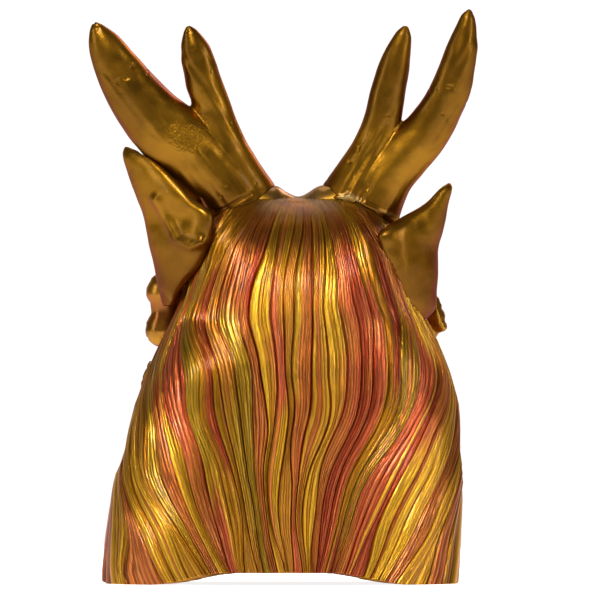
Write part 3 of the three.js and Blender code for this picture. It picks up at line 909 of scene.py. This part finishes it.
EAR_DEPTH_PLACE = 10.0
EAR_WRAP = 0.75
EARS = {
    "ear_left": [
        (238, 109, 100, 12), (255, 113.5, 90, 28), (272, 117, 76, 36), (293, 121.5, 68, 40),
        (316, 126, 66, 37), (330, 131.5, 82.5, 31), (345, 137, 97, 24), (359, 141.5, 112, 17),
        (368, 143.5, 124, 11), (374.5, 142, 139, 3),
    ],
    "ear_right": [
        (219, -110, -100, 12), (234, -124, -92, 27), (253, -126, -84, 36), (270, -127, -80, 40),
        (287, -127.5, -76, 40), (300, -131, -76, 35), (312, -133.5, -92, 27), (325, -136, -114.8, 18),
        (338, -139.4, -127.5, 9), (344, -138, -136, 3),
    ],
}
EAR_FOLD = [(115, 329), (106, 308), (98, 294), (85, 289), (76, 293)]
EAR_EDGE = [(-81, 270), (-90, 255), (-99, 238), (-106, 221)]
EAR_SMEAR = [(112, 246), (102, 238)]


def build_ear(title, name, seed, fitted):
    rings, scoop = [], []
    skew = -math.copysign(EAR_WRAP, EARS[name][0][1])
    for z, outer, inner, depth in EARS[name]:
        width = abs(outer - inner)
        rings.append(((outer + inner) / 2, EAR_DEPTH_PLACE + EAR_WRAP * width / 2, z, width, depth))
    for x, y, z, width, depth in rings[1:-1]:
        scoop.append((x + math.copysign(width * 0.04, x), y - depth * 0.5, z, width * 0.72, depth * 0.74))
    ear = make(title, loft(rings, 100, 90, False, 0, skew))
    combined(ear, [make("scoop", loft(scoop, 70, 60, False, 0, skew))], "DIFFERENCE")
    remeshed(ear, EAR_VOXEL, 3)
    points = vertices(ear.data)
    x, y, z = points.T
    behind = smooth(0.2, 0.6, normals(ear.data)[:, 1])
    height = 0.9 * noise3(points, 24 * K, seed) + 0.35 * noise3(points, 8 * K, seed + 3)
    if name == "ear_left":
        fold = distance(points, EAR_FOLD)
        basin = np.exp(-(((x - 98) / 17) ** 2 + ((z - 312) / 16) ** 2))
        height = height + (3.2 * np.exp(-(fold / 4.2) ** 2) - 4.0 * basin) * behind
    else:
        edge = distance(points, EAR_EDGE)
        height = height + 1.2 * np.exp(-(edge / 1.3) ** 2) * behind
        height = height + 1.4 * np.exp(-(((x + 99) / 8) ** 2 + ((z - 262) / 34) ** 2)) * behind
    move_to(ear.data, points + normals(ear.data) * height[:, None])
    roots = antler_parts(name.replace("ear", "antler"), EAR_GAP)
    cuts = [twin(fitted)] + [make("antler_fit", part, 1) for part in roots]
    combined(ear, cuts, "DIFFERENCE")
    points = vertices(ear.data)
    film = np.exp(-(distance(points, EAR_SMEAR if name == "ear_left" else EAR_EDGE[2:]) / 4.5) ** 2)
    gold_fields(ear.data, film * smooth(0.1, 0.4, normals(ear.data)[:, 1]), 236, 330, 0 * film)
    return ear


# Materials

# Roughness of each paint: all above or all below 0.274, because the denoiser shows a change across it
HAIR_ROUGHNESS = (0.285, 0.36)
GOLD_ROUGHNESS = (0.31, 0.44)
LATEX_ROUGHNESS = (0.5, 0.65)
EYE_ROUGHNESS = (0.14, 0.22)
TOOTH_ROUGHNESS = (0.29, 0.38)
TONGUE_ROUGHNESS = (0.29, 0.4)
HAIR_EDGE_COLOUR = (200, 150, 66)
GOLD_EDGE_COLOUR = (192, 144, 62)


def new_material(name):
    made = bpy.data.materials.new(name)
    made.use_nodes = True
    made.node_tree.nodes.clear()
    return made, made.node_tree


def add(tree, kind, values=(), **options):
    node = tree.nodes.new(kind)
    for key, value in options.items():
        setattr(node, key, value)
    for key, value in dict(values).items():
        plug(tree, node.inputs[key], value)
    return node


def plug(tree, socket, value):
    if isinstance(value, bpy.types.NodeSocket):
        tree.links.new(value, socket)
    else:
        socket.default_value = value


def mix(tree, factor, a, b, blend="MIX"):
    node = tree.nodes.new("ShaderNodeMix")
    node.data_type = "RGBA"
    node.blend_type = blend
    for index, value in ((0, factor), (6, a), (7, b)):
        plug(tree, node.inputs[index], value)
    return node.outputs[2]


def calc(tree, operation, a, b=0.5):
    return add(tree, "ShaderNodeMath", {0: a, 1: b}, operation=operation).outputs[0]


def span(tree, value, low, high, start=0.0, end=1.0):
    values = {"Value": value, "From Min": low, "From Max": high, "To Min": start, "To Max": end}
    return add(tree, "ShaderNodeMapRange", values, interpolation_type="SMOOTHSTEP").outputs[0]


def stored(tree, name):
    return add(tree, "ShaderNodeAttribute", attribute_name=name).outputs["Fac"]


def grain(tree, vector, scale, detail=3.0, rough=0.55):
    values = {"Vector": vector, "Scale": scale, "Detail": detail, "Roughness": rough}
    return add(tree, "ShaderNodeTexNoise", values).outputs[0]


def stretched(tree, vector, scale):
    return add(tree, "ShaderNodeMapping", {"Vector": vector, "Scale": scale}).outputs[0]


def rgb(red, green, blue):
    """Colour from eye values 0 to 255."""
    parts = [value / 255 for value in (red, green, blue)]
    return (*[p / 12.92 if p < 0.04 else ((p + 0.055) / 1.055) ** 2.4 for p in parts], 1.0)


def surface(tree, colour, rough, metal, coat, height, bump, edge=(255, 255, 255)):
    uneven = add(tree, "ShaderNodeBump", {"Height": height, "Distance": bump / MM, "Strength": 1.0})
    values = {
        "Base Color": colour, "Roughness": rough, "Metallic": metal, "Coat Weight": coat,
        "Coat Roughness": 0.14, "Specular Tint": rgb(*edge), "Normal": uneven.outputs[0],
    }
    shader = add(tree, "ShaderNodeBsdfPrincipled", values)
    add(tree, "ShaderNodeOutputMaterial", {"Surface": shader.outputs[0]})


def place(tree):
    return add(tree, "ShaderNodeTexCoord").outputs["Object"]


def hair_material():
    made, tree = new_material("painted hair and face")
    comb = add(tree, "ShaderNodeUVMap", uv_map="comb").outputs[0]
    spot = place(tree)
    thread = grain(tree, stretched(tree, comb, (9.0, 0.16, 1.0)), 1.0, 2.0)
    hairline = grain(tree, stretched(tree, comb, (24.0, 0.4, 1.0)), 1.0, 2.0)
    patch = grain(tree, spot, 26.0)
    cover, groove_shade, tone = stored(tree, "cover"), stored(tree, "groove_shade"), stored(tree, "tone")
    gold = mix(tree, span(tree, tone, 0.25, 0.75), rgb(162, 104, 12), rgb(214, 160, 40))
    gold = mix(tree, span(tree, thread, 0.5, 0.7, 0, 0.6), gold, rgb(166, 126, 16))
    copper = mix(tree, span(tree, thread, 0.4, 0.62), rgb(150, 72, 22), rgb(194, 114, 50))
    gold = mix(tree, stored(tree, "copper"), gold, copper)
    olive = mix(tree, span(tree, thread, 0.4, 0.62), rgb(132, 96, 14), rgb(176, 136, 32))
    gold = mix(tree, calc(tree, "MULTIPLY", stored(tree, "olive"), 0.85), gold, olive)
    coral = mix(tree, span(tree, tone, 0.2, 0.8), rgb(146, 42, 26), rgb(194, 80, 54))
    coral = mix(tree, span(tree, thread, 0.55, 0.7, 0, 0.5), coral, rgb(222, 142, 74))
    gold = mix(tree, calc(tree, "MULTIPLY", stored(tree, "coral"), 0.88), gold, coral)
    # Painted shade: darker toward the top of the back of the head.
    gold = mix(tree, calc(tree, "MULTIPLY", stored(tree, "shade"), 0.7), gold, rgb(116, 70, 8))
    skin = mix(tree, span(tree, patch, 0.4, 0.62), rgb(124, 80, 10), rgb(164, 114, 22))
    skin = mix(tree, span(tree, grain(tree, spot, 11.0), 0.54, 0.7, 0, 0.4), skin, rgb(146, 64, 30))
    colour = mix(tree, cover, skin, gold)
    fibre = grain(tree, stretched(tree, spot, (110, 60, 8)), 1.0)
    tuft = mix(tree, span(tree, fibre, 0.42, 0.58), rgb(194, 80, 40), rgb(204, 148, 38))
    colour = mix(tree, stored(tree, "tuft"), colour, tuft)
    top = mix(tree, span(tree, patch, 0.4, 0.62), rgb(112, 74, 12), rgb(146, 100, 20))
    colour = mix(tree, stored(tree, "smooth_top"), colour, top)
    colour = mix(tree, stored(tree, "mouth"), colour, rgb(110, 20, 18))
    # Painted shade: the colour is multiplied darker in the grooves.
    colour = mix(tree, groove_shade, colour, mix(tree, 1.0, colour, rgb(150, 96, 50), "MULTIPLY"))
    worn = calc(tree, "MULTIPLY", stored(tree, "worn"), span(tree, hairline, 0.4, 0.6, 0.1, 0.7))
    colour = mix(tree, worn, colour, rgb(160, 144, 108))
    cells = {"Vector": spot, "Scale": 150.0}
    scales = add(tree, "ShaderNodeTexVoronoi", cells, feature="DISTANCE_TO_EDGE").outputs[0]
    scaly = calc(tree, "MULTIPLY", span(tree, scales, 0.0, 0.25), stored(tree, "scaly"))
    strands = calc(tree, "ADD", hairline, calc(tree, "MULTIPLY", thread, 0.7))
    relief = add(tree, "ShaderNodeMix", {0: cover, 2: scaly, 3: strands}).outputs[0]
    rough = span(tree, grain(tree, spot, 60.0), 0.3, 0.7, *HAIR_ROUGHNESS)
    surface(tree, colour, rough, 0.92, 0.3, relief, 0.55, HAIR_EDGE_COLOUR)
    return made


def gold_material():
    made, tree = new_material("pearly gold")
    spot = place(tree)
    broad = grain(tree, spot, 9.0, 4.0)
    small = grain(tree, spot, 55.0, 4.0)
    rough_spots = calc(tree, "MULTIPLY", grain(tree, spot, 420.0, 2.0), stored(tree, "rough"))
    colour = mix(tree, span(tree, broad, 0.38, 0.62), rgb(108, 72, 12), rgb(142, 98, 20))
    colour = mix(tree, span(tree, small, 0.5, 0.75, 0, 0.4), colour, rgb(96, 58, 10))
    # Painted shade: darker toward the head at the root, and on faces that look down.
    colour = mix(tree, calc(tree, "MULTIPLY", stored(tree, "root"), 0.6), colour, rgb(92, 52, 8))
    colour = mix(tree, calc(tree, "MULTIPLY", stored(tree, "low"), 0.5), colour, rgb(84, 46, 8))
    worn = calc(tree, "MULTIPLY", stored(tree, "worn"), span(tree, small, 0.42, 0.6, 0.0, 0.9))
    colour = mix(tree, worn, colour, rgb(170, 140, 84))
    fine = grain(tree, spot, 900.0, 2.0)
    height = calc(tree, "ADD", calc(tree, "MULTIPLY", fine, 0.12), calc(tree, "MULTIPLY", small, 0.9))
    height = calc(tree, "ADD", height, calc(tree, "MULTIPLY", rough_spots, 1.4))
    rough = span(tree, small, 0.3, 0.7, *GOLD_ROUGHNESS)
    surface(tree, colour, rough, 0.96, 0.1, height, 0.6, GOLD_EDGE_COLOUR)
    return made


def inside_material():
    made, tree = new_material("bare latex")
    spot = place(tree)
    cloud = grain(tree, spot, 18.0, 4.0)
    fine = grain(tree, spot, 260.0, 3.0)
    colour = mix(tree, span(tree, cloud, 0.36, 0.66), rgb(150, 126, 84), rgb(178, 156, 112))
    colour = mix(tree, span(tree, fine, 0.55, 0.75, 0, 0.4), colour, rgb(118, 96, 60))
    surface(tree, colour, span(tree, cloud, 0.3, 0.7, *LATEX_ROUGHNESS), 0.0, 0.0, fine, 0.25)
    return made


def eye_material():
    made, tree = new_material("amber eye")
    spot = place(tree)
    cloud = grain(tree, spot, 70.0, 3.0)
    colour = mix(tree, span(tree, cloud, 0.4, 0.62), rgb(206, 132, 24), rgb(168, 52, 18))
    colour = mix(tree, stored(tree, "iris"), rgb(214, 190, 128), colour)
    colour = mix(tree, stored(tree, "rim"), colour, rgb(38, 14, 6))
    surface(tree, colour, span(tree, cloud, 0.3, 0.7, *EYE_ROUGHNESS), 0.1, 0.9, cloud, 0.15)
    return made


def mouth_material(name, coarse, small, light, dark, roughness, metal, coat, bump):
    made, tree = new_material(name)
    spot = place(tree)
    cloud = grain(tree, spot, coarse)
    fine = grain(tree, spot, small)
    colour = mix(tree, span(tree, cloud, 0.4, 0.65), rgb(*light), rgb(*dark))
    surface(tree, colour, span(tree, fine, 0.3, 0.7, *roughness), metal, coat, fine, bump)
    return made


def paint_eye(mesh):
    x, _, z = vertices(mesh).T
    away = np.hypot(x - np.sign(x) * EYE[0] * K, z - EYE[2] * K)
    field(mesh, "iris", 1 - smooth(*IRIS_EDGE, away))
    field(mesh, "rim", np.maximum(1 - smooth(*PUPIL_EDGE, away), np.exp(-((away - 12) / 0.8) ** 2)))


# Pieces on the part

def dress(piece, node, outer, inner=None):
    mesh = piece.data
    mesh.materials.clear()
    mesh.materials.append(outer)
    mesh.materials.append(inner or outer)
    mesh.polygons.foreach_set("use_smooth", np.ones(len(mesh.polygons), bool))
    mesh.update()
    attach(piece, "root")
    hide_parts(node)


head = build_head()
eyes = build_eyes()
teeth = build_teeth()
tongue = build_tongue()
hair_paint, gold_paint, bare = hair_material(), gold_material(), inside_material()
dress(head, "head", hair_paint, bare)
eye_paint = eye_material()
for eye in eyes:
    paint_eye(eye.data)
    dress(eye, "head", eye_paint, bare)
ivory = mouth_material(
    "ivory paint", 60.0, 420.0, (224, 208, 164), (196, 166, 108), TOOTH_ROUGHNESS, 0.0, 0.4, 0.2)
red = mouth_material(
    "red paint", 50.0, 480.0, (158, 36, 30), (196, 72, 54), TONGUE_ROUGHNESS, 0.05, 0.5, 0.4)
dress(teeth, "head", ivory)
dress(tongue, "head", red)
fitted = fitted_skin()
for name, seed in (("antler_left", 110), ("antler_right", 140)):
    dress(build_antler(name + "_cast", name, seed, fitted), name, gold_paint)
for name, seed in (("ear_left", 170), ("ear_right", 200)):
    dress(build_ear(name + "_cast", name, seed, fitted), name, gold_paint)
bpy.data.objects.remove(fitted)


# Stage

FLOOR_HALF, FLOOR_FRONT, FLOOR_BACK = 9, -2.2, 16
SKY_PLAIN, SKY_BRIGHT = 0.15, 1.05
VIEW_DISTANCE = 15.0
VIEW_WIDTH = 0.515
VIEW_MIDDLE = mathutils.Vector(((-8.5 * K + SHIFT[0]) / MM, 0.03, 0.243))
VIEW_END = 60.0

# Light panels: place, where they look, width and height, all in metres, and watts
PANELS = {
    "key": ((0.5, 1.7, 1.9), (0, 0, 0.22), (0.6, 0.5), 35),
    "side": ((-1.7, 1.2, 0.9), (0, 0, 0.25), (0.4, 1.2), 12),
    "left": ((1.8, 0.9, 0.8), (0, 0, 0.25), (0.4, 1.2), 6),
    "top": ((0.0, -0.7, 1.9), (0, 0, 0.3), (1.0, 0.8), 5),
    "front": ((-0.9, -1.3, 1.3), (0, 0, 0.25), (0.9, 0.9), 14),
}


def pale_floor():
    made, tree = new_material("pale floor")
    spot = place(tree)
    cloud = grain(tree, spot, 1.2, 2.0)
    colour = mix(tree, span(tree, cloud, 0.3, 0.7), rgb(246, 246, 246), rgb(250, 250, 250))
    depth = add(tree, "ShaderNodeSeparateXYZ", {0: spot}).outputs[1]
    values = {
        "Base Color": colour, "Emission Color": colour, "Roughness": 0.9, "Specular IOR Level": 0.0,
        "Emission Strength": span(tree, depth, 0.9, 1.5, 0.9, 0.03),
    }
    shader = add(tree, "ShaderNodeBsdfPrincipled", values)
    add(tree, "ShaderNodeOutputMaterial", {"Surface": shader.outputs[0]})
    mesh = bpy.data.meshes.new("floor")
    corners = [(-FLOOR_HALF, FLOOR_FRONT, 0), (FLOOR_HALF, FLOOR_FRONT, 0)]
    corners += [(FLOOR_HALF, FLOOR_BACK, 0), (-FLOOR_HALF, FLOOR_BACK, 0)]
    mesh.from_pydata(corners, [], [(0, 1, 2, 3)])
    mesh.materials.append(made)
    floor = bpy.data.objects.new("floor", mesh)
    bpy.context.scene.collection.objects.link(floor)
    floor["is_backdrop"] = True


def panel(name, spot, target, size, power):
    light = bpy.data.lights.new(name, "AREA")
    light.shape = "RECTANGLE"
    light.size, light.size_y = size
    light.energy = power
    made = bpy.data.objects.new(name, light)
    made.location = spot
    way = mathutils.Vector(target) - mathutils.Vector(spot)
    made.rotation_euler = way.to_track_quat("-Z", "Y").to_euler()
    bpy.context.scene.collection.objects.link(made)


pale_floor()
for name, facts in PANELS.items():
    panel(name, *facts)

world = bpy.data.worlds.new("studio")
world.use_nodes = True
sky = world.node_tree.nodes["Background"]
sky.inputs["Color"].default_value = (1.0, 1.0, 1.0, 1.0)
way = add(world.node_tree, "ShaderNodeTexCoord").outputs["Generated"]
toward = add(world.node_tree, "ShaderNodeSeparateXYZ", {0: way}).outputs[1]
strength = span(world.node_tree, toward, -0.4, -0.8, SKY_PLAIN, SKY_BRIGHT)
world.node_tree.links.new(strength, sky.inputs["Strength"])
bpy.context.scene.world = world

camera = bpy.data.cameras.new("camera")
camera.sensor_width = 36.0
camera.lens = camera.sensor_width * VIEW_DISTANCE / VIEW_WIDTH
camera.clip_end = VIEW_END
eye_point = bpy.data.objects.new("camera", camera)
away = mathutils.Vector((0, 1, 0))
eye_point.location = VIEW_MIDDLE + away * VIEW_DISTANCE
eye_point.rotation_euler = (-away).to_track_quat("-Z", "Y").to_euler()
bpy.context.scene.collection.objects.link(eye_point)
bpy.context.scene.camera = eye_point
bpy.context.scene.view_settings.view_transform = "Standard"

{"cad": CAD_BOUNDS, "final": [list(corner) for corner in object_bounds()]}
